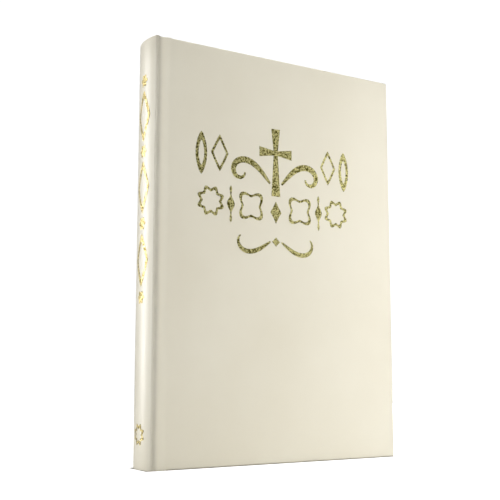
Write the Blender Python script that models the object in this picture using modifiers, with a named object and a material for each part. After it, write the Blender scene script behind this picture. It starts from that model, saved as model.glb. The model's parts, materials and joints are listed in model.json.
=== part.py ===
"""A case-bound bible standing on its tail: two cloth-hinged boards, a hollow back and a sewn block of leaves.

Frame: origin at the middle of the footprint, +Z towards the head, -Y out of the front cover and -X out of the spine.
Lengths are metres; MM turns millimetres into them. One object is one piece of the book.
"""

import math

import bmesh
import bpy
from mathutils import Matrix

MM = 0.001

# Driving sizes
HEIGHT = 210 * MM
WIDTH = 147 * MM
THICKNESS = 20 * MM

# Sheet materials
SKIN = 0.4 * MM
BOARD = 2.0 * MM
PAPER = 0.15 * MM
CARD = 1.0 * MM
FOIL = 0.05 * MM

# Gaps left between glued or touching sheets
GLUE = 0.1 * MM
LOOSE = 0.15 * MM
FOIL_GAP = 0.05 * MM

# Places across the width, from the spine to the fore-edge
FORE_EDGE = WIDTH / 2
SPINE_BULGE = 1.5 * MM
SPINE_FACE = -FORE_EDGE + SPINE_BULGE
SHOULDER_RADIUS = 1.0 * MM
SHOULDER_X = SPINE_FACE + SHOULDER_RADIUS
GROOVE_X = SHOULDER_X + 2.6 * MM
GROOVE_DEPTH = 1.0 * MM
GROOVE_SKEW = 1.2
GROOVE_END = GROOVE_X + 4.6 * MM
BOARD_EDGE = GROOVE_END + 0.4 * MM
BLOCK_BACK = GROOVE_X + 0.7 * MM
SQUARE = 3 * MM
BLOCK_FRONT = FORE_EDGE - SQUARE
TURN_IN = 15 * MM

# Places through the thickness, for one cover; the other is its mirror image
OUTER = THICKNESS / 2
BOARD_OUTER = OUTER - SKIN - GLUE
BOARD_INNER = BOARD_OUTER - BOARD
COVER_INNER = BOARD_INNER - GLUE - SKIN
PASTEDOWN_OUTER = COVER_INNER - GLUE
FLYLEAF_OUTER = PASTEDOWN_OUTER - PAPER - LOOSE
BLOCK_OUTER = FLYLEAF_OUTER - PAPER - LOOSE

SIGNATURES = 6
LEAF_GAP = 0.1 * MM
EDGE_ROUND = 0.8 * MM
BOARD_ROUND = 0.4 * MM
ARC_STEPS = 6
OUTLINE_STEPS = 48

THREAD_STATIONS = (30 * MM, 80 * MM, 130 * MM, 180 * MM)
THREAD_RADIUS = 0.12 * MM

# The covers and leaves turn about upright axes just outside the grooves
HINGE_X = GROOVE_X
HINGE_Y = OUTER + 0.15 * MM

# The stamped ornament: its middle and its rows, then each motif's place and size in millimetres
CREST_X = -2.5 * MM
ROW_ONE_Z = 154 * MM
ROW_TWO_Z = 130 * MM
FLOURISH_Z = 112 * MM
LINE = 1.3 * MM
SPINE_ORNAMENT_Z = 135 * MM
SPINE_PITCH = 18 * MM


def clear_scene():
    for old in list(bpy.data.objects):
        bpy.data.objects.remove(old)


def make_collection(name):
    made = bpy.data.collections.new(name)
    bpy.context.scene.collection.children.link(made)
    return made


def make_material(name, colour, roughness, metallic=0.0):
    made = bpy.data.materials.new(name)
    made.use_nodes = True
    shader = made.node_tree.nodes["Principled BSDF"]
    shader.inputs["Base Color"].default_value = (*colour, 1.0)
    shader.inputs["Roughness"].default_value = roughness
    shader.inputs["Metallic"].default_value = metallic
    return made


def make_hinge(name, side):
    """An upright axis beside the spine, which the pieces that turn are hung on."""
    hinge = bpy.data.objects.new(name, None)
    hinge.location = (HINGE_X, side * HINGE_Y, HEIGHT / 2)
    BOOK.objects.link(hinge)
    return hinge


clear_scene()
BOOK = make_collection("bible")
HINGES = {"front": make_hinge("front_hinge", -1), "back": make_hinge("back_hinge", 1)}
CUTTERS = make_collection("cutters")
IVORY = make_material("ivory_leathercloth", (0.83, 0.79, 0.68), 0.42)
GREYBOARD = make_material("greyboard", (0.42, 0.37, 0.30), 0.9)
PAGE = make_material("bible_paper", (0.90, 0.87, 0.78), 0.8)
ENDPAPER = make_material("endpaper", (0.92, 0.90, 0.84), 0.75)
GAUZE = make_material("binding_gauze", (0.85, 0.82, 0.74), 0.9)
KRAFT = make_material("kraft_lining", (0.55, 0.42, 0.28), 0.85)
THREAD = make_material("linen_thread", (0.88, 0.85, 0.76), 0.8)
BAND = make_material("band_cloth", (0.86, 0.80, 0.66), 0.7)
GOLD = make_material("gold_foil", (0.72, 0.55, 0.20), 0.3, 1.0)


def add_piece(name, data, material, collection=None):
    piece = bpy.data.objects.new(name, data)
    data.materials.append(material)
    (collection or BOOK).objects.link(piece)
    return piece


def make_cutter(name, data):
    cutter = add_piece(name, data, GOLD, CUTTERS)
    cutter.display_type = "WIRE"
    cutter.hide_render = True
    return cutter


def hang(piece, word):
    """Parents a piece to its cover's hinge and leaves it where it is."""
    piece.parent = HINGES[word]
    piece.matrix_parent_inverse = Matrix.Translation(HINGES[word].location).inverted()


def mesh_from(name, shape):
    mesh = bpy.data.meshes.new(name)
    shape.to_mesh(mesh)
    shape.free()
    return mesh


def box_shape(low, high):
    """A cube stretched between two corners."""
    shape = bmesh.new()
    size = [b - a for a, b in zip(low, high)]
    middle = [(a + b) / 2 for a, b in zip(low, high)]
    place = Matrix.Translation(middle) @ Matrix.Diagonal((*size, 1.0))
    bmesh.ops.create_cube(shape, size=1.0, matrix=place)
    return shape


def add_bevel(piece, width, segments):
    bevel = piece.modifiers.new("rounded_edges", "BEVEL")
    bevel.width = width
    bevel.segments = segments
    bevel.limit_method = "ANGLE"


def add_solidify(piece, thickness, offset):
    wall = piece.modifiers.new("wall", "SOLIDIFY")
    wall.thickness = thickness
    wall.offset = offset
    wall.use_even_offset = True


def make_box(name, low, high, material, bevel=0.0):
    piece = add_piece(name, mesh_from(name, box_shape(low, high)), material)
    if bevel:
        add_bevel(piece, bevel, 2)
    return piece


def make_bent_sheet(name, path, thickness, low_z, high_z, material):
    """A sheet whose outer face follows a path of (x, y) points, thickened towards the path's left."""
    shape = bmesh.new()
    lower = [shape.verts.new((x, y, low_z)) for x, y in path]
    upper = [shape.verts.new((x, y, high_z)) for x, y in path]
    for i in range(len(path) - 1):
        shape.faces.new((lower[i], lower[i + 1], upper[i + 1], upper[i]))
    piece = add_piece(name, mesh_from(name, shape), material)
    add_solidify(piece, thickness, -1.0)
    return piece


# The case: what the leathercloth, the boards and the hollow back are cut and bent to


def groove_y(x):
    """How far out the cloth lies: it drops steeply from the shoulder to the groove, then eases up to the board."""
    if x < GROOVE_X:
        share = ((GROOVE_X - x) / (GROOVE_X - SHOULDER_X)) ** GROOVE_SKEW
    else:
        share = min(1.0, (x - GROOVE_X) / (GROOVE_END - GROOVE_X))
    return OUTER - GROOVE_DEPTH * 0.5 * (1 + math.cos(math.pi * share))


def joint_path(side, start, stop, steps=8):
    xs = [start + (stop - start) * i / steps for i in range(steps + 1)]
    return [(x, side * groove_y(x)) for x in xs]


def spine_arc(outset, half_width, steps=12):
    """Points across the gently rounded back, front to rear, moved out by outset."""
    flat = OUTER - SHOULDER_RADIUS
    radius = (flat**2 + SPINE_BULGE**2) / (2 * SPINE_BULGE)
    centre = SPINE_FACE - SPINE_BULGE + radius
    span = math.asin(half_width / (radius + outset))
    turns = [-span + 2 * span * i / steps for i in range(steps + 1)]
    return [(centre - (radius + outset) * math.cos(t), (radius + outset) * math.sin(t)) for t in turns]


def shoulder_arc():
    """From the crest beside the front groove round to the back's front edge."""
    turns = [math.pi / 2 * i / ARC_STEPS for i in range(1, ARC_STEPS)]
    middle_y = -OUTER + SHOULDER_RADIUS
    return [
        (SHOULDER_X - SHOULDER_RADIUS * math.sin(t), middle_y - SHOULDER_RADIUS * math.cos(t))
        for t in turns
    ]


def spine_wrap():
    """The whole outline of the spine's cloth, front groove to rear groove."""
    front = joint_path(-1, GROOVE_X - 1.2 * MM, SHOULDER_X, 5) + shoulder_arc()
    rear = [(x, -y) for x, y in reversed(front)]
    return front + spine_arc(0.0, OUTER - SHOULDER_RADIUS) + rear


def make_spine():
    make_bent_sheet("spine_skin", spine_wrap()[::-1], SKIN, 0.0, HEIGHT, IVORY)
    card = spine_arc(-SKIN - GLUE, OUTER - 2.2 * MM)
    make_bent_sheet("spine_stiffener", card[::-1], CARD, 0.6 * MM, HEIGHT - 0.6 * MM, GREYBOARD)


def make_cover_skin(name, side):
    """Leathercloth over one board: outer face, three wrapped edges and their turn-ins, open on the inside."""
    low_y, high_y = sorted((side * OUTER, side * COVER_INNER))
    low = (GROOVE_END + 0.1 * MM, low_y, 0.0)
    high = (FORE_EDGE, high_y, HEIGHT)
    shape = box_shape(low, high)
    cuts = (
        ((0, 0, TURN_IN), (0, 0, 1)),
        ((0, 0, HEIGHT - TURN_IN), (0, 0, 1)),
        ((FORE_EDGE - TURN_IN, 0, 0), (1, 0, 0)),
    )
    for point, normal in cuts:
        everything = shape.verts[:] + shape.edges[:] + shape.faces[:]
        bmesh.ops.bisect_plane(shape, geom=everything, plane_co=point, plane_no=normal, dist=1e-7)
    opened = [face for face in shape.faces if opens_the_skin(face.calc_center_median(), side)]
    bmesh.ops.delete(shape, geom=opened, context="FACES")
    piece = add_piece(name, mesh_from(name, shape), IVORY)
    add_bevel(piece, EDGE_ROUND, 3)
    add_solidify(piece, SKIN, -1.0)
    return piece


def opens_the_skin(middle, side):
    """True on the spine side, and on the inside between the turn-ins."""
    if middle.x < GROOVE_END + 0.2 * MM:
        return True
    inside = side * middle.y < COVER_INNER + 0.01 * MM
    framed = TURN_IN < middle.z < HEIGHT - TURN_IN and middle.x < FORE_EDGE - TURN_IN
    return inside and framed


def flat_sheet(name, side, near, thickness, left, material, inset=SQUARE):
    """An upright sheet parallel to the covers; near is its face furthest from the middle of the book."""
    low_y, high_y = sorted((side * near, side * (near - thickness)))
    return make_box(name, (left, low_y, inset), (BLOCK_FRONT, high_y, HEIGHT - inset), material)


def make_cover(word, side):
    wrap = SKIN + GLUE
    low_y, high_y = sorted((side * BOARD_OUTER, side * BOARD_INNER))
    low = (BOARD_EDGE, low_y, wrap)
    high = (FORE_EDGE - wrap, high_y, HEIGHT - wrap)
    hang(make_box(f"{word}_board", low, high, GREYBOARD, BOARD_ROUND), word)
    hang(make_cover_skin(f"{word}_cover_skin", side), word)
    hang(flat_sheet(f"{word}_pastedown", side, PASTEDOWN_OUTER, PAPER, BOARD_EDGE, ENDPAPER), word)


def make_joint_cloth(word, side):
    path = joint_path(side, GROOVE_X - 1.1 * MM, GROOVE_END)
    if side > 0:
        path.reverse()
    make_bent_sheet(f"{word}_joint_cloth", path, SKIN, 0.3 * MM, HEIGHT - 0.3 * MM, IVORY)


# The block of leaves, in sewn groups that fan apart as the covers open


def make_leaves(word, side):
    hang(flat_sheet(f"{word}_flyleaf", side, FLYLEAF_OUTER, PAPER, BLOCK_BACK, ENDPAPER), word)
    pitch = (BLOCK_OUTER - LEAF_GAP / 2) / SIGNATURES
    for i in range(SIGNATURES):
        near = BLOCK_OUTER - i * pitch
        name = f"{word}_signature_{i + 1}"
        hang(flat_sheet(name, side, near, pitch - LEAF_GAP, BLOCK_BACK, PAGE), word)


def make_back_lining():
    """What holds the groups together behind the block: threads, gauze and a paper lining."""
    half = BLOCK_OUTER - 0.2 * MM
    thread_x = BLOCK_BACK - 0.25 * MM
    for i, z in enumerate(THREAD_STATIONS):
        curve = bpy.data.curves.new(f"sewing_thread_{i + 1}", "CURVE")
        curve.dimensions = "3D"
        curve.bevel_depth = THREAD_RADIUS
        curve.bevel_resolution = 2
        curve.use_fill_caps = True
        line = curve.splines.new("POLY")
        line.points.add(1)
        line.points[0].co = (thread_x, -half, z, 1)
        line.points[1].co = (thread_x, half, z, 1)
        add_piece(curve.name, curve, THREAD)
    gauze_x = BLOCK_BACK - 0.75 * MM
    low, high = (gauze_x, -half, 12 * MM), (gauze_x + 0.25 * MM, half, HEIGHT - 12 * MM)
    make_box("mull", low, high, GAUZE)
    lining_x = gauze_x - GLUE - PAPER
    low, high = (lining_x, -half, 5 * MM), (lining_x + PAPER, half, HEIGHT - 5 * MM)
    make_box("spine_lining", low, high, KRAFT)


def make_end_band(name, base_z, up):
    """A corded bead over the block's end, with a short flange glued behind the leaves."""
    radius = 0.7 * MM
    bead_x, bead_z = BLOCK_BACK - 0.1 * MM, 0.9 * MM
    tail_out, tail_in, tail_end = BLOCK_BACK - 0.45 * MM, BLOCK_BACK - 0.2 * MM, -7 * MM
    start = math.acos((tail_in - bead_x) / radius)
    stop = math.acos((tail_out - bead_x) / radius)
    steps = 16
    sweep = 2 * math.pi - (stop - start)
    turns = [-start + sweep * i / steps for i in range(steps + 1)]
    outline = [(bead_x + radius * math.cos(t), bead_z + radius * math.sin(t)) for t in turns]
    outline += [(tail_out, tail_end), (tail_in, tail_end)]
    curve = outline_curve(name, [[(x, up * z) for x, z in outline]], BLOCK_OUTER - 0.2 * MM)
    band = add_piece(name, curve, BAND)
    band.rotation_euler = (math.pi / 2, 0, 0)
    band.location = (0, 0, base_z)


# The stamped ornament: outlines in the cover's plane, each its own closed plate of foil


def outline_curve(name, rings, half_depth):
    """A closed flat outline, with any holes as further rings, extruded half_depth to both sides."""
    curve = bpy.data.curves.new(name, "CURVE")
    curve.dimensions = "2D"
    curve.fill_mode = "BOTH"
    curve.extrude = half_depth
    for points in rings:
        ring = curve.splines.new("POLY")
        ring.points.add(len(points) - 1)
        for point, (x, y) in zip(ring.points, points):
            point.co = (x, y, 0, 1)
        ring.use_cyclic_u = True
    return curve


def mirrored(right):
    """An outline closed by its own left-hand mirror image; right runs up from the foot or down from the top."""
    return right + [(-x, z) for x, z in reversed(right)]


def cross_outline(height, width, arm, flare):
    """A plain cross with arms that widen towards their ends; its origin is where the arms meet."""
    top, foot, side = height * 0.36, -height * 0.64, width / 2
    half, wide = arm / 2, arm / 2 + flare
    return mirrored([(wide, top), (half, half), (side, wide), (side, -wide), (half, -half), (wide, foot)])


def lozenge_outline(width, height, hollow):
    """A four-pointed motif; its sides are straight at a hollow of 2 and curve inwards above that."""
    points = []
    for i in range(OUTLINE_STEPS):
        across, up = math.cos(2 * math.pi * i / OUTLINE_STEPS), math.sin(2 * math.pi * i / OUTLINE_STEPS)
        x = math.copysign(abs(across) ** hollow, across) * width / 2
        points.append((x, math.copysign(abs(up) ** hollow, up) * height / 2))
    return points


def rosette_outline(radius, lobes, depth):
    """A round motif whose edge swells into equal lobes."""
    turns = [2 * math.pi * i / OUTLINE_STEPS for i in range(OUTLINE_STEPS)]
    reach = [radius * (1 - depth * 0.5 * (1 + math.cos(lobes * t))) for t in turns]
    return [(r * math.sin(t), r * math.cos(t)) for r, t in zip(reach, turns)]


def spindle_outline(height, width, swellings):
    """An upright motif, pointed at both ends, with a number of swellings between them."""
    steps = OUTLINE_STEPS // 2
    right = []
    for i in range(1, steps):
        share = i / steps
        taper = math.sin(math.pi * share) ** 0.7
        swell = 0.6 + 0.4 * math.cos(math.pi * (swellings - 1) * (2 * share - 1))
        right.append((width / 2 * taper * swell, height * (share - 0.5)))
    left = [(-x, z) for x, z in reversed(right)]
    return [(0, -height / 2)] + right + [(0, height / 2)] + left


def scroll_outline(length, widest, heading, turn, side):
    """A tapered stroke that sets off at a heading and curls ever more tightly, by turn radians in all."""
    steps = 30
    x, z = 0.0, 0.0
    upper, lower = [], []
    for i in range(steps + 1):
        share = i / steps
        half = widest / 2 * (0.12 + math.sin(math.pi * (0.06 + 0.9 * share)) ** 0.8)
        across = (-half * math.sin(heading), half * math.cos(heading))
        upper.append((side * (x + across[0]), z + across[1]))
        lower.append((side * (x - across[0]), z - across[1]))
        heading += turn * 2.6 * share**1.6 / steps
        x += length / steps * math.cos(heading)
        z += length / steps * math.sin(heading)
    return upper + lower[::-1]


def make_front_foil(name, rings, x, z):
    curve = outline_curve(name, rings, FOIL / 2)
    plate = add_piece(name, curve, GOLD)
    plate.rotation_euler = (math.pi / 2, 0, 0)
    plate.location = (x, -OUTER - FOIL_GAP - FOIL / 2, z)
    bpy.context.view_layer.update()
    hang(plate, "front")


def framed(outline, width, height, line, hollow):
    """An outline and, about a line's width inside it, the same outline as a hole."""
    inner_height = height - 2 * line * height / width
    return [outline(width, height, hollow), outline(width - 2 * line, inner_height, hollow)]


def ringed(radius, lobes, depth):
    """A rosette drawn as a line: its edge and, inside it, the same edge as a hole."""
    return [rosette_outline(radius, lobes, depth), rosette_outline(radius - 1.5 * LINE, lobes, depth)]


def make_middle_ornament():
    cross = cross_outline(36 * MM, 20 * MM, 2.6 * MM, 1.4 * MM)
    make_front_foil("foil_cross", [cross], CREST_X, ROW_ONE_Z + 5 * MM)
    lozenge = lozenge_outline(7 * MM, 12 * MM, 2.2)
    make_front_foil("foil_lozenge_middle", [lozenge], CREST_X, ROW_TWO_Z - 2.5 * MM)
    small = lozenge_outline(5 * MM, 5 * MM, 2.2)
    make_front_foil("foil_lozenge_foot", [small], CREST_X, FLOURISH_Z)


def make_side_ornament(word, side):
    """The motifs to one side of the cross; reach is how far each lies from it, in millimetres."""
    vine = [scroll_outline(40 * MM, 3.0 * MM, 0.85, -5.6, side)]
    diamond = framed(lozenge_outline, 10 * MM, 19 * MM, LINE, 1.9)
    leaf = [spindle_outline(22 * MM, 6.5 * MM, 1), spindle_outline(13 * MM, 3.2 * MM, 1)]
    spindle = [spindle_outline(19 * MM, 4.5 * MM, 3)]
    scroll = [scroll_outline(27 * MM, 2.2 * MM, -0.6, 3.1, side)]
    motifs = (
        ("vine", vine, 3.6, ROW_ONE_Z - 11.5 * MM),
        ("diamond", diamond, 33.5, ROW_ONE_Z + 1 * MM),
        ("leaf", leaf, 44, ROW_ONE_Z),
        ("quatrefoil", ringed(9 * MM, 4, 0.36), 15, ROW_TWO_Z - 0.5 * MM),
        ("spindle", spindle, 27, ROW_TWO_Z - 0.5 * MM),
        ("rosette", ringed(8 * MM, 8, 0.25), 38.5, ROW_TWO_Z),
        ("scroll", scroll, 3.4, FLOURISH_Z),
    )
    for motif, rings, reach, z in motifs:
        make_front_foil(f"foil_{motif}_{word}", rings, CREST_X + side * reach * MM, z)


def make_spine_foil(name, rings, z):
    """A plate bent to the rounded back: an arc of foil kept only inside an upright outline."""
    sheet = spine_arc(FOIL_GAP + FOIL, 6.5 * MM)
    reach = 18 * MM
    plate = make_bent_sheet(name, sheet[::-1], FOIL, z - reach, z + reach, GOLD)
    curve = outline_curve(f"{name}_cutter", rings, 4 * MM)
    guide = make_cutter(f"{name}_guide", curve)
    guide.rotation_euler = (math.pi / 2, 0, -math.pi / 2)
    guide.location = (-FORE_EDGE, 0, z)
    bpy.context.view_layer.update()
    solid = bpy.data.meshes.new_from_object(guide.evaluated_get(bpy.context.evaluated_depsgraph_get()))
    weld(solid)
    cutter = make_cutter(f"{name}_outline", solid)
    cutter.matrix_world = guide.matrix_world
    bpy.data.objects.remove(guide)
    keep = plate.modifiers.new("inside_outline", "BOOLEAN")
    keep.operation = "INTERSECT"
    keep.solver = "EXACT"
    keep.object = cutter


def weld(mesh):
    shape = bmesh.new()
    shape.from_mesh(mesh)
    bmesh.ops.remove_doubles(shape, verts=shape.verts[:], dist=0.001 * MM)
    shape.to_mesh(mesh)
    shape.free()


def make_spine_ornament():
    """A column of tall framed lozenges with a small rosette above, between and below them."""
    lozenge = framed(lozenge_outline, 12 * MM, 26 * MM, 1.4 * LINE, 1.7)
    rosette = [rosette_outline(3.4 * MM, 6, 0.3)]
    for i in range(7):
        z = SPINE_ORNAMENT_Z + (3 - i) * SPINE_PITCH
        make_spine_foil(f"spine_foil_{i + 1}", lozenge if i % 2 else rosette, z)
    make_spine_foil("spine_foil_foot", ringed(5.4 * MM, 8, 0.3), 16.2 * MM)


make_spine()
for cover_word, cover_side in (("front", -1), ("back", 1)):
    make_cover(cover_word, cover_side)
    make_joint_cloth(cover_word, cover_side)
    make_leaves(cover_word, cover_side)
make_back_lining()
make_end_band("head_band", HEIGHT - SQUARE, 1)
make_end_band("tail_band", SQUARE, -1)
make_middle_ornament()
make_side_ornament("left", -1)
make_side_ornament("right", 1)
make_spine_ornament()
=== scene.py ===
"""An ivory case-bound bible standing on its tail, dressed for a white studio.

Lengths are metres in the part's own frame: +Z towards the head, -Y out of the front cover, and
-X out of the spine.
"""

import json
import math

import bmesh
import bpy
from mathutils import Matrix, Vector


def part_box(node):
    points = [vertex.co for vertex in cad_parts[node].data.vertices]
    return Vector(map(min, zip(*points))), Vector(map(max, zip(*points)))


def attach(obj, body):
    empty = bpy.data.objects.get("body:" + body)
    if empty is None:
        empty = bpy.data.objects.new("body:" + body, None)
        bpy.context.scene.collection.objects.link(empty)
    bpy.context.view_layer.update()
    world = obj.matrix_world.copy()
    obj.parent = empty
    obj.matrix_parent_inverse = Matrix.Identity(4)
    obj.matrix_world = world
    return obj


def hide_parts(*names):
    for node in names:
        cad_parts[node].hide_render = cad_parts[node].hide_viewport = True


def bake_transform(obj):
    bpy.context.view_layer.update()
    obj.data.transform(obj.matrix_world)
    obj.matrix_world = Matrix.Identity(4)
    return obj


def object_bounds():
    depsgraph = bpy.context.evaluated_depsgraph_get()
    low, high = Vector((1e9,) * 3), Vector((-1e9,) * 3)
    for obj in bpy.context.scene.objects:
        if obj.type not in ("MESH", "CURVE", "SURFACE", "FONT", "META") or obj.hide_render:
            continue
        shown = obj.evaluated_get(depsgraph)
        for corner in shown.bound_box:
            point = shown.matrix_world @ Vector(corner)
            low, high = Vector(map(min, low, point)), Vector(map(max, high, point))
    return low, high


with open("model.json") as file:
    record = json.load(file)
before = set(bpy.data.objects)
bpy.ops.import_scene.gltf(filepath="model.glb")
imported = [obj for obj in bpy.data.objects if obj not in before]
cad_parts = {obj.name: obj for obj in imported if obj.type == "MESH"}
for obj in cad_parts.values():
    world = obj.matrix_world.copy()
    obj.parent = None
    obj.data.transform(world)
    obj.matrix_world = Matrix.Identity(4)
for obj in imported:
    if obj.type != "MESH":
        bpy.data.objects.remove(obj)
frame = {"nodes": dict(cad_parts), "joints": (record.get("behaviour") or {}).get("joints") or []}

CAD_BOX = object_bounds()
MM = 0.001
NODES = frame["nodes"]
SIDES = (("front", -1), ("back", 1))

# Sizes read from the frame
BOOK_LOW, BOOK_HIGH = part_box("spine_skin")
HEIGHT = BOOK_HIGH.z
HALF_THICKNESS = BOOK_HIGH.y
SPINE_FRONT = BOOK_LOW.x
COVER_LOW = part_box("front_cover_skin")[0]
HINGE = Vector(next(j["pos_m"] for j in frame["joints"] if j["name"] == "front_cover_hinge"))

# Sizes of the cloth and how it is folded
CLOTH = 0.4 * MM
CARD_LAYERS = 1.7 * MM
TURN_IN = 15 * MM
EDGE_ROUND = 0.8 * MM
BULGE = 1.5 * MM
SHOULDER = 1.0 * MM
CREST_X = SPINE_FRONT + BULGE + SHOULDER
GROOVE_DEPTH = 1.0 * MM
GROOVE_SKEW = 1.2
FOLDED_END = 12 * MM
FOLD_STEP = 0.4 * MM
CLOSE = 0.01 * MM

# Painted shade: the cloth's darker tone beside the shoulder, where the joint groove lies in shade, and how
# far from the groove's floor it is centred
GROOVE_PAINTED_SHADE = 0.76
PAINTED_SHADE_SHIFT = 1.9 * MM

# The leaves and the bands at their ends
SIGNATURES = 6
LEAVES = 12
LEAF_SHARE = 0.75
GUTTER = 16 * MM
BAND_TURNS = 30
BAND_FLANGE = 7 * MM
THREAD_RISE = 0.05 * MM


# Modelling helpers


def deselect():
    for item in bpy.context.selected_objects:
        item.select_set(False)


def take(piece):
    """Makes one piece the active and only selected object."""
    deselect()
    piece.select_set(True)
    bpy.context.view_layer.objects.active = piece


def added(name):
    piece = bpy.context.active_object
    piece.name = name
    piece.data.name = name
    return piece


def add_block(name, low, high):
    """A cube sized and placed between two corners, its place kept in its mesh."""
    low, high = Vector(low), Vector(high)
    deselect()
    bpy.ops.mesh.primitive_cube_add(size=1, location=(low + high) / 2)
    piece = added(name)
    piece.scale = high - low
    bpy.ops.object.transform_apply(location=True, rotation=True, scale=True)
    return piece


def cut(piece, places, normal):
    """Adds an edge loop where each plane crosses the whole piece."""
    take(piece)
    bpy.ops.object.mode_set(mode="EDIT")
    for place in places:
        bpy.ops.mesh.select_all(action="SELECT")
        bpy.ops.mesh.bisect(plane_co=place, plane_no=normal)
    bpy.ops.object.mode_set(mode="OBJECT")


def delete_faces(piece, chosen):
    """Deletes the faces whose middle passes a test."""
    take(piece)
    bpy.ops.object.mode_set(mode="EDIT")
    bpy.ops.mesh.select_mode(type="FACE")
    bpy.ops.mesh.select_all(action="DESELECT")
    shape = bmesh.from_edit_mesh(piece.data)
    for face in shape.faces:
        face.select_set(chosen(face.calc_center_median()))
    bmesh.update_edit_mesh(piece.data)
    bpy.ops.mesh.delete(type="FACE")
    bpy.ops.object.mode_set(mode="OBJECT")


def finish_modifier(piece, modifier):
    take(piece)
    bpy.ops.object.modifier_apply(modifier=modifier.name)


def bevel(piece, width, segments):
    rounding = piece.modifiers.new("rounding", "BEVEL")
    rounding.width = width
    rounding.segments = segments
    rounding.limit_method = "ANGLE"
    rounding.angle_limit = math.radians(40)
    finish_modifier(piece, rounding)


def thicken(piece, thickness):
    wall = piece.modifiers.new("wall", "SOLIDIFY")
    wall.thickness = thickness
    wall.offset = -1.0
    wall.use_even_offset = True
    finish_modifier(piece, wall)


def smooth(piece, degrees=35):
    take(piece)
    bpy.ops.object.shade_smooth_by_angle(angle=math.radians(degrees))


def extrude_path(name, path, low_z, high_z):
    """An upright sheet: one upright edge, extruded step by step along a path of (x, y) points."""
    height = high_z - low_z
    x, y = path[0]
    deselect()
    middle = (x + height / 2, y, (low_z + high_z) / 2)
    bpy.ops.mesh.primitive_plane_add(size=height, location=middle, rotation=(math.pi / 2, 0, 0))
    piece = added(name)
    bpy.ops.object.transform_apply(location=True, rotation=True, scale=True)
    bpy.ops.object.mode_set(mode="EDIT")
    bpy.ops.mesh.select_mode(type="VERT")
    bpy.ops.mesh.select_all(action="DESELECT")
    shape = bmesh.from_edit_mesh(piece.data)
    for vert in shape.verts:
        vert.select_set(vert.co.x > x + height / 2)
    bmesh.update_edit_mesh(piece.data)
    bpy.ops.mesh.delete(type="VERT")
    bpy.ops.mesh.select_all(action="SELECT")
    for (x0, y0), (x1, y1) in zip(path, path[1:]):
        step = {"value": (x1 - x0, y1 - y0, 0)}
        bpy.ops.mesh.extrude_region_move(TRANSFORM_OT_translate=step)
    bpy.ops.object.mode_set(mode="OBJECT")
    return piece


def lay_out(piece):
    """Notes where each point lies when the book is shut, so that patterns follow a piece that bends."""
    shut = piece.data.attributes.new("shut", "FLOAT_VECTOR", "POINT")
    shut.data.foreach_set("vector", [value for vert in piece.data.vertices for value in vert.co])


# Materials


def new_material(name, colour, roughness):
    material = bpy.data.materials.new(name)
    material.use_nodes = True
    shader = material.node_tree.nodes["Principled BSDF"]
    shader.inputs["Base Color"].default_value = (*colour, 1)
    shader.inputs["Roughness"].default_value = roughness
    return material, material.node_tree.nodes, material.node_tree.links, shader


def coordinates(nodes, attribute):
    """Object coordinates, or a bending piece's place when the book is shut."""
    if attribute:
        source = nodes.new("ShaderNodeAttribute")
        source.attribute_name = "shut"
        return source.outputs["Vector"]
    return nodes.new("ShaderNodeTexCoord").outputs["Object"]


def new_group(name, inputs, outputs):
    group = bpy.data.node_groups.new(name, "ShaderNodeTree")
    for socket, kind, value in inputs:
        made = group.interface.new_socket(socket, in_out="INPUT", socket_type=kind)
        if value is not None:
            made.default_value = value
    for socket, kind in outputs:
        group.interface.new_socket(socket, in_out="OUTPUT", socket_type=kind)
    return group, group.nodes.new("NodeGroupInput"), group.nodes.new("NodeGroupOutput")


def grain_group():
    """Fine leather grain: rounded cells broken up by a finer noise, with a slow variation beneath."""
    group, start, end = new_group(
        "leather_grain",
        (("Place", "NodeSocketVector", None), ("Cell", "NodeSocketFloat", 1400.0)),
        (("Height", "NodeSocketFloat"), ("Cloud", "NodeSocketFloat")),
    )
    nodes, links = group.nodes, group.links
    cells = nodes.new("ShaderNodeTexVoronoi")
    cells.feature = "SMOOTH_F1"
    cells.inputs["Smoothness"].default_value = 0.6
    fine = nodes.new("ShaderNodeTexNoise")
    fine.inputs["Scale"].default_value = 2600
    fine.inputs["Detail"].default_value = 3
    cloud = nodes.new("ShaderNodeTexNoise")
    cloud.inputs["Scale"].default_value = 22
    cloud.inputs["Detail"].default_value = 3
    mix = nodes.new("ShaderNodeMix")
    mix.inputs[0].default_value = 0.45
    links.new(start.outputs["Place"], cells.inputs["Vector"])
    links.new(start.outputs["Cell"], cells.inputs["Scale"])
    links.new(start.outputs["Place"], fine.inputs["Vector"])
    links.new(start.outputs["Place"], cloud.inputs["Vector"])
    links.new(cells.outputs["Distance"], mix.inputs[2])
    links.new(fine.outputs["Fac"], mix.inputs[3])
    links.new(mix.outputs[0], end.inputs["Height"])
    links.new(cloud.outputs["Fac"], end.inputs["Cloud"])
    return group


def use_group(nodes, group):
    node = nodes.new("ShaderNodeGroup")
    node.node_tree = group
    return node


def ramp(nodes, stops):
    """A colour ramp with (place, colour) stops."""
    node = nodes.new("ShaderNodeValToRGB")
    elements = node.color_ramp.elements
    elements[0].position, elements[0].color = stops[0][0], (*stops[0][1], 1)
    elements[1].position, elements[1].color = stops[-1][0], (*stops[-1][1], 1)
    for place, colour in stops[1:-1]:
        elements.new(place).color = (*colour, 1)
    return node


def bump(nodes, links, shader, height, strength, distance):
    node = nodes.new("ShaderNodeBump")
    node.inputs["Strength"].default_value = strength
    node.inputs["Distance"].default_value = distance
    links.new(height, node.inputs["Height"])
    links.new(node.outputs["Normal"], shader.inputs["Normal"])


def span(nodes, links, value, low, high):
    """Maps a 0..1 value to low..high."""
    node = nodes.new("ShaderNodeMapRange")
    node.inputs["To Min"].default_value = low
    node.inputs["To Max"].default_value = high
    links.new(value, node.inputs["Value"])
    return node.outputs["Result"]


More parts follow.
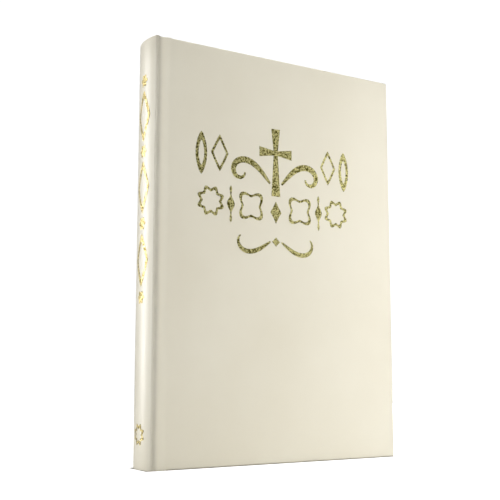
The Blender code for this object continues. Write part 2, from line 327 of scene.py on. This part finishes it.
def calculate(nodes, links, operation, *terms):
    """One step of arithmetic, whose terms are other nodes' outputs or fixed numbers."""
    node = nodes.new("ShaderNodeMath")
    node.operation = operation
    for socket, term in zip(node.inputs, terms):
        if isinstance(term, float):
            socket.default_value = term
        else:
            links.new(term, socket)
    return node.outputs["Value"]


def along(nodes, links, place, axis):
    split = nodes.new("ShaderNodeSeparateXYZ")
    links.new(place, split.inputs["Vector"])
    return split.outputs[axis]


def fade(nodes, links, distance, near, far, value_near, value_far):
    """Eases from one value to another as a distance grows from near to far."""
    node = nodes.new("ShaderNodeMapRange")
    node.interpolation_type = "SMOOTHSTEP"
    node.inputs["From Min"].default_value = near
    node.inputs["From Max"].default_value = far
    node.inputs["To Min"].default_value = value_near
    node.inputs["To Max"].default_value = value_far
    links.new(distance, node.inputs["Value"])
    return node.outputs["Result"]


def painted_groove_shade(nodes, links, place):
    """Brightness of the cloth: painted shade, a little darker in a band beside the shoulder where the joint
    groove lies in shade.
    """
    x = along(nodes, links, place, "X")
    offset = calculate(nodes, links, "SUBTRACT", x, HINGE.x - PAINTED_SHADE_SHIFT)
    away = calculate(nodes, links, "ABSOLUTE", offset)
    return fade(nodes, links, away, 0.2 * MM, 3.2 * MM, GROOVE_PAINTED_SHADE, 1.0)


def leathercloth(name, attribute):
    material, nodes, links, shader = new_material(name, (0.83, 0.79, 0.68), 0.42)
    grain = use_group(nodes, GRAIN)
    place = coordinates(nodes, attribute)
    links.new(place, grain.inputs["Place"])
    tint = ramp(nodes, ((0.3, (0.795, 0.745, 0.605)), (0.7, (0.83, 0.785, 0.65))))
    links.new(grain.outputs["Cloud"], tint.inputs["Fac"])
    # Painted shade: the cloth's colour is darkened along the joint groove.
    painted_shade = nodes.new("ShaderNodeHueSaturation")
    links.new(tint.outputs["Color"], painted_shade.inputs["Color"])
    links.new(painted_groove_shade(nodes, links, place), painted_shade.inputs["Value"])
    links.new(painted_shade.outputs["Color"], shader.inputs["Base Color"])
    links.new(span(nodes, links, grain.outputs["Cloud"], 0.36, 0.46), shader.inputs["Roughness"])
    shader.inputs["Coat Weight"].default_value = 0.15
    shader.inputs["Coat Roughness"].default_value = 0.3
    bump(nodes, links, shader, grain.outputs["Height"], 0.12, 0.05 * MM)
    return material


def gold_foil(name, speckle, dark, light, roughness):
    """Stamped foil in tiny facets, each tinted and tilted its own way."""
    material, nodes, links, shader = new_material(name, light, roughness)
    place = coordinates(nodes, False)
    facets = nodes.new("ShaderNodeTexVoronoi")
    facets.inputs["Scale"].default_value = speckle
    links.new(place, facets.inputs["Vector"])
    middle = tuple((a + b) / 2 for a, b in zip(dark, light))
    tint = ramp(nodes, ((0.3, dark), (0.5, middle), (0.72, light)))
    links.new(facets.outputs["Color"], tint.inputs["Fac"])
    links.new(tint.outputs["Color"], shader.inputs["Base Color"])
    shader.inputs["Metallic"].default_value = 1.0
    bump(nodes, links, shader, facets.outputs["Color"], 0.6, 0.08 * MM)
    return material


def paper(name, colour, edge_colour, attribute):
    """Thin paper: soft fibres on its face, mottled towards a slightly darker colour."""
    material, nodes, links, shader = new_material(name, colour, 0.8)
    place = coordinates(nodes, attribute)
    fibres = nodes.new("ShaderNodeTexNoise")
    fibres.inputs["Scale"].default_value = 700
    fibres.inputs["Detail"].default_value = 4
    links.new(place, fibres.inputs["Vector"])
    tint = ramp(nodes, ((0.3, edge_colour), (0.7, colour)))
    links.new(fibres.outputs["Fac"], tint.inputs["Fac"])
    links.new(tint.outputs["Color"], shader.inputs["Base Color"])
    bump(nodes, links, shader, fibres.outputs["Fac"], 0.15, 0.05 * MM)
    return material


def woven(name, colour, shade, threads):
    """Plain weave seen close: crossing threads as two waves."""
    material, nodes, links, shader = new_material(name, colour, 0.85)
    place = coordinates(nodes, False)
    waves = []
    for direction in ("Y", "Z"):
        wave = nodes.new("ShaderNodeTexWave")
        wave.bands_direction = direction
        wave.inputs["Scale"].default_value = threads
        wave.inputs["Distortion"].default_value = 0.6
        links.new(place, wave.inputs["Vector"])
        waves.append(wave)
    crossing = nodes.new("ShaderNodeMath")
    crossing.operation = "MULTIPLY"
    links.new(waves[0].outputs["Fac"], crossing.inputs[0])
    links.new(waves[1].outputs["Fac"], crossing.inputs[1])
    tint = ramp(nodes, ((0.0, shade), (0.6, colour)))
    links.new(crossing.outputs["Value"], tint.inputs["Fac"])
    links.new(tint.outputs["Color"], shader.inputs["Base Color"])
    bump(nodes, links, shader, crossing.outputs["Value"], 0.5, 0.1 * MM)
    return material


def greyboard():
    """Pulp board: flecked grey-brown fibres."""
    material, nodes, links, shader = new_material("greyboard", (0.42, 0.37, 0.30), 0.9)
    flecks = nodes.new("ShaderNodeTexNoise")
    flecks.inputs["Scale"].default_value = 900
    flecks.inputs["Detail"].default_value = 6
    links.new(coordinates(nodes, False), flecks.inputs["Vector"])
    tint = ramp(nodes, ((0.35, (0.30, 0.26, 0.21)), (0.65, (0.50, 0.45, 0.37))))
    links.new(flecks.outputs["Fac"], tint.inputs["Fac"])
    links.new(tint.outputs["Color"], shader.inputs["Base Color"])
    bump(nodes, links, shader, flecks.outputs["Fac"], 0.3, 0.1 * MM)
    return material


GRAIN = grain_group()
IVORY = leathercloth("ivory_leathercloth", False)
IVORY_BENDING = leathercloth("ivory_leathercloth_bending", True)
FRONT_GOLD = gold_foil("glitter_gold_foil", 1700, (0.10, 0.085, 0.015), (0.72, 0.66, 0.29), 0.42)
SPINE_GOLD = gold_foil("bright_gold_foil", 1600, (0.13, 0.10, 0.02), (0.60, 0.50, 0.24), 0.42)
PAGE = paper("bible_paper", (0.88, 0.85, 0.77), (0.80, 0.77, 0.68), True)
ENDPAPER = paper("endpaper", (0.90, 0.88, 0.82), (0.86, 0.84, 0.78), False)
ENDPAPER_BENDING = paper("endpaper_bending", (0.90, 0.88, 0.82), (0.86, 0.84, 0.78), True)
KRAFT = paper("kraft_lining", (0.50, 0.37, 0.24), (0.40, 0.29, 0.18), False)
GAUZE = woven("binding_gauze", (0.84, 0.81, 0.73), (0.5, 0.47, 0.40), 900)
BAND = woven("band_cloth", (0.86, 0.81, 0.68), (0.60, 0.52, 0.34), 500)
THREAD = woven("linen_thread", (0.86, 0.83, 0.74), (0.6, 0.56, 0.46), 1500)
BOARD = greyboard()


def dress(piece, material):
    piece.data.materials.clear()
    piece.data.materials.append(material)


def dress_cad_nodes():
    """Finishes for the solids that stay as they are."""
    finishes = {"board": BOARD, "spine_stiffener": BOARD, "pastedown": ENDPAPER, "mull": GAUZE,
                "spine_lining": KRAFT, "sewing_thread": THREAD, "spine_foil": SPINE_GOLD, "foil_": FRONT_GOLD}
    for name, node in NODES.items():
        found = [finish for word, finish in finishes.items() if word in name]
        if found:
            dress(node, found[0])


# The case


def groove_y(x):
    """How far out the cloth lies: it drops from the shoulder to the groove, then eases up to the board."""
    if x < HINGE.x:
        share = ((HINGE.x - x) / (HINGE.x - CREST_X)) ** GROOVE_SKEW
    else:
        share = min(1.0, (x - HINGE.x) / (COVER_LOW.x - HINGE.x))
    return HALF_THICKNESS - GROOVE_DEPTH * 0.5 * (1 + math.cos(math.pi * share))


def joint_points(start, stop, steps):
    xs = [start + (stop - start) * i / steps for i in range(steps + 1)]
    return [(x, -groove_y(x)) for x in xs]


def spine_points():
    """Across the back from one shoulder's crest to the other's."""
    flat = HALF_THICKNESS - SHOULDER
    radius = (flat**2 + BULGE**2) / (2 * BULGE)
    centre = SPINE_FRONT + radius
    reach = math.asin(flat / radius)
    steps = 32
    turns = [-reach + 2 * reach * i / steps for i in range(steps + 1)]
    back = [(centre - radius * math.cos(t), radius * math.sin(t)) for t in turns]
    turns = [math.pi / 2 * i / 10 for i in range(10)]
    shoulder = [(CREST_X - SHOULDER * math.sin(t), -flat - SHOULDER * math.cos(t)) for t in turns]
    return shoulder + back + [(x, -y) for x, y in reversed(shoulder)]


def model_bent_cloth(name, path, thick, thin):
    """Cloth along a path, folded double over its head and tail, where it is thick."""
    piece = extrude_path(name, path, 0.0, HEIGHT)
    inner = FOLDED_END + FOLD_STEP
    levels = (FOLDED_END, inner, HEIGHT - inner, HEIGHT - FOLDED_END)
    cut(piece, [(0, 0, z) for z in levels], (0, 0, 1))
    group = piece.vertex_groups.new(name="folded")
    for vert in piece.data.vertices:
        folded = vert.co.z < levels[0] + CLOSE or vert.co.z > levels[3] - CLOSE
        group.add([vert.index], 1.0 if folded else 0.0, "REPLACE")
    wall = piece.modifiers.new("wall", "SOLIDIFY")
    wall.thickness = thick
    wall.offset = -1.0
    wall.vertex_group = "folded"
    wall.thickness_vertex_group = thin / thick
    finish_modifier(piece, wall)
    piece.vertex_groups.clear()
    return piece


def model_spine():
    path = spine_points()[::-1]
    spine = model_bent_cloth("spine_cloth", path, CARD_LAYERS, CLOTH)
    bevel(spine, 0.6 * MM, 4)
    smooth(spine)
    dress(spine, IVORY)
    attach(spine, "spine")
    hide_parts("spine_skin")


def model_joint(word, side):
    path = [(x, -side * y) for x, y in joint_points(CREST_X, COVER_LOW.x, 32)]
    if side > 0:
        path.reverse()
    joint = model_bent_cloth(f"{word}_joint", path, 2.2 * CLOTH, CLOTH)
    smooth(joint)
    dress(joint, IVORY_BENDING)
    lay_out(joint)
    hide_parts(f"{word}_joint_cloth")
    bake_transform(joint)


def model_cover_cloth(word, side):
    """Leathercloth wrapped over a board and turned in behind its three outer edges."""
    low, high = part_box(f"{word}_cover_skin")
    cloth = add_block(f"{word}_cover_cloth", low, high)
    cut(cloth, [(0, 0, low.z + TURN_IN), (0, 0, high.z - TURN_IN)], (0, 0, 1))
    cut(cloth, [(high.x - TURN_IN, 0, 0)], (1, 0, 0))
    inner = min(abs(low.y), abs(high.y))

    def open_side(middle):
        framed = low.z + TURN_IN < middle.z < high.z - TURN_IN and middle.x < high.x - TURN_IN
        return middle.x < low.x + CLOSE or (framed and abs(middle.y) < inner + CLOSE)

    delete_faces(cloth, open_side)
    bevel(cloth, EDGE_ROUND, 6)
    thicken(cloth, CLOTH)
    smooth(cloth)
    dress(cloth, IVORY)
    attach(cloth, f"{word}_cover")
    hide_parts(f"{word}_cover_skin")


# The leaves


def gutter_cuts(low_x, steps=18):
    return [(low_x + GUTTER * i / steps, 0, 0) for i in range(1, steps + 1)]


def model_signature(word, number):
    """A sewn group as its single leaves, each able to bend at the gutter."""
    node = f"{word}_signature_{number}"
    low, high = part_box(node)
    pitch = (high.y - low.y) / LEAVES
    leaf = add_block(f"{word}_leaves_{number}", low, (high.x, low.y + pitch * LEAF_SHARE, high.z))
    cut(leaf, gutter_cuts(low.x), (1, 0, 0))
    stack = leaf.modifiers.new("stack", "ARRAY")
    stack.count = LEAVES
    stack.use_relative_offset = False
    stack.use_constant_offset = True
    stack.constant_offset_displace = (0, pitch, 0)
    finish_modifier(leaf, stack)
    dress(leaf, PAGE)
    lay_out(leaf)
    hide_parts(node)
    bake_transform(leaf)


def model_flyleaf(word):
    node = f"{word}_flyleaf"
    low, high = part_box(node)
    leaf = add_block(f"{word}_free_endpaper", low, high)
    cut(leaf, gutter_cuts(low.x), (1, 0, 0))
    dress(leaf, ENDPAPER_BENDING)
    lay_out(leaf)
    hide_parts(node)
    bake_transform(leaf)


def model_hinge_paper(word, side):
    """The strip of endpaper that lines the joint from the gutter to the pastedown."""
    low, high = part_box(f"{word}_pastedown")
    leaf_low, leaf_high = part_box(f"{word}_flyleaf")
    thickness = high.y - low.y
    outer = side * max(abs(low.y), abs(high.y))
    fold = side * max(abs(leaf_low.y), abs(leaf_high.y)) + side * 0.1 * MM
    steps = 20
    path = []
    for i in range(steps + 1):
        share = i / steps
        x = leaf_low.x + (low.x - leaf_low.x) * share
        path.append((x, fold + (outer - fold) * (3 * share**2 - 2 * share**3)))
    if side > 0:
        path.reverse()
    strip = extrude_path(f"{word}_hinge_paper", path, low.z, high.z)
    thicken(strip, thickness)
    smooth(strip)
    dress(strip, ENDPAPER_BENDING)
    lay_out(strip)
    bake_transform(strip)


def model_end_band(node):
    """A corded bead wound with thread, over a short flange."""
    low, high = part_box(node)
    up = 1 if low.z > HEIGHT / 2 else -1
    radius = (high.x - low.x) / 2
    bead_z = high.z - radius if up > 0 else low.z + radius
    deselect()
    bpy.ops.mesh.primitive_cylinder_add(
        vertices=20, radius=radius * 0.94, depth=high.y - low.y,
        location=((low.x + high.x) / 2, 0, bead_z), rotation=(math.pi / 2, 0, 0))
    bead = added(f"{node}_bead")
    bpy.ops.object.transform_apply(location=True, rotation=True, scale=True)
    pitch = (high.y - low.y) / BAND_TURNS
    cut(bead, [(0, low.y + pitch * i / 2, 0) for i in range(1, 2 * BAND_TURNS)], (0, 1, 0))
    swell(bead, pitch, low.y, Vector(((low.x + high.x) / 2, 0, bead_z)))
    flange_z = sorted((bead_z, bead_z - up * BAND_FLANGE))
    flange_low = (low.x + 0.45 * radius, low.y, flange_z[0])
    flange_high = (low.x + 0.8 * radius, high.y, flange_z[1])
    add_block(f"{node}_flange", flange_low, flange_high)
    bead.select_set(True)
    bpy.context.view_layer.objects.active = bead
    bpy.ops.object.join()
    smooth(bead, 50)
    dress(bead, BAND)
    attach(bead, "spine")
    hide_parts(node)


def swell(bead, pitch, start_y, axis):
    """Every second ring of the bead stands a little proud, as a turn of thread."""
    for vert in bead.data.vertices:
        turn = round((vert.co.y - start_y) / (pitch / 2))
        if turn % 2:
            across = Vector((vert.co.x - axis.x, 0, vert.co.z - axis.z))
            vert.co += across.normalized() * THREAD_RISE


# The studio


def add_camera():
    data = bpy.data.cameras.new("camera")
    data.lens = 64.01
    data.sensor_width = 36
    data.clip_start = 0.01
    camera = bpy.data.objects.new("camera", data)
    camera.location = (-0.2486, -0.3930, 0.0451)
    camera.rotation_euler = (math.pi / 2 + 0.1371, 0, -0.5416)
    bpy.context.scene.collection.objects.link(camera)
    bpy.context.scene.camera = camera


def add_softbox(name, location, target, size, power, spread=180):
    data = bpy.data.lights.new(name, "AREA")
    data.spread = math.radians(spread)
    data.shape = "RECTANGLE"
    data.size, data.size_y = size
    data.energy = power
    light = bpy.data.objects.new(name, data)
    light.location = location
    aim = Vector(target) - Vector(location)
    light.rotation_euler = aim.to_track_quat("-Z", "Y").to_euler()
    bpy.context.scene.collection.objects.link(light)


def light_world():
    """White to the camera; as a light, a dim fill, brighter towards the horizon."""
    world = bpy.data.worlds.new("studio")
    bpy.context.scene.world = world
    world.use_nodes = True
    nodes, links = world.node_tree.nodes, world.node_tree.links
    nodes.clear()
    seen, lighting = nodes.new("ShaderNodeBackground"), nodes.new("ShaderNodeBackground")
    seen.inputs["Strength"].default_value = 1.05
    place = nodes.new("ShaderNodeTexCoord")
    split = nodes.new("ShaderNodeSeparateXYZ")
    rise = nodes.new("ShaderNodeMapRange")
    rise.inputs["From Min"].default_value = 0.1
    rise.inputs["From Max"].default_value = 0.7
    rise.inputs["To Min"].default_value = 0.48
    rise.inputs["To Max"].default_value = 0.04
    links.new(place.outputs["Generated"], split.inputs["Vector"])
    links.new(split.outputs["Z"], rise.inputs["Value"])
    links.new(rise.outputs["Result"], lighting.inputs["Strength"])
    for background in (seen, lighting):
        background.inputs["Color"].default_value = (1, 1, 1, 1)
    path, mix, out = (nodes.new(f"ShaderNode{kind}") for kind in ("LightPath", "MixShader", "OutputWorld"))
    links.new(path.outputs["Is Camera Ray"], mix.inputs["Fac"])
    links.new(lighting.outputs["Background"], mix.inputs[1])
    links.new(seen.outputs["Background"], mix.inputs[2])
    links.new(mix.outputs["Shader"], out.inputs["Surface"])


def add_studio():
    light_world()
    bpy.context.scene.view_settings.view_transform = "Standard"
    add_softbox("key_light", (-0.64, -1.02, 0.40), (0.209, -0.171, 0.1), (0.25, 0.4), 1.12, spread=50)
    add_softbox("spine_light", (-0.65, 0.69, 0.12), (-0.07, 0, 0.1), (0.12, 0.8), 7.5)
    add_softbox("fore_edge_light", (0.20, -0.16, 0.12), (0.07, 0, 0.11), (0.10, 0.35), 0.20)
    add_softbox("head_light", (0, 0, 0.45), (0, 0, 0.2), (0.16, 0.03), 0.05, spread=60)
    add_softbox("back_light", (0.75, 0.45, 0.25), (0.07, 0, 0.1), (0.4, 0.5), 4)


def painted_contact_shadow_mask(nodes, links):
    """Painted contact shadow: how far a point of the floor lies outside the book's footprint, from 0 beside
    it to 1 well away.
    """
    place = coordinates(nodes, False)
    gaps = []
    for axis, half in (("X", CAD_BOX[1].x), ("Y", HALF_THICKNESS)):
        away = calculate(nodes, links, "ABSOLUTE", along(nodes, links, place, axis))
        gaps.append(calculate(nodes, links, "SUBTRACT", away, half))
    furthest = calculate(nodes, links, "MAXIMUM", *gaps)
    return fade(nodes, links, furthest, -0.3 * MM, 2.2 * MM, 0.0, 1.0)


def see_through_from_below(nodes, links, shader):
    """Lets the book's tail be seen through the floor's underside."""
    clear, mix = nodes.new("ShaderNodeBsdfTransparent"), nodes.new("ShaderNodeMixShader")
    links.new(nodes.new("ShaderNodeNewGeometry").outputs["Backfacing"], mix.inputs["Fac"])
    links.new(shader.outputs["BSDF"], mix.inputs[1])
    links.new(clear.outputs["BSDF"], mix.inputs[2])
    links.new(mix.outputs["Shader"], nodes["Material Output"].inputs["Surface"])


def add_floor():
    deselect()
    bpy.ops.mesh.primitive_circle_add(vertices=96, radius=3, fill_type="NGON", location=(0, 0, 0))
    floor = added("floor")
    pale = (0.84, 0.84, 0.84)
    material, nodes, links, shader = new_material("white_floor", pale, 0.7)
    # Painted contact shadow: beside the book's footprint the floor is tinted dark and gives no emission.
    share = painted_contact_shadow_mask(nodes, links)
    tint = ramp(nodes, ((0.0, (0.35, 0.34, 0.32)), (1.0, pale)))
    links.new(share, tint.inputs["Fac"])
    links.new(tint.outputs["Color"], shader.inputs["Base Color"])
    shader.inputs["Emission Color"].default_value = (1, 1, 1, 1)
    camera_ray = nodes.new("ShaderNodeLightPath").outputs["Is Camera Ray"]
    links.new(calculate(nodes, links, "MULTIPLY", camera_ray, share), shader.inputs["Emission Strength"])
    see_through_from_below(nodes, links, shader)
    floor.data.materials.append(material)


add_camera()
dress_cad_nodes()
model_spine()
for word, side in SIDES:
    model_joint(word, side)
    model_cover_cloth(word, side)
    model_flyleaf(word)
    model_hinge_paper(word, side)
    for number in range(1, SIGNATURES + 1):
        model_signature(word, number)
for node in ("head_band", "tail_band"):
    model_end_band(node)
add_floor()
add_studio()
deselect()
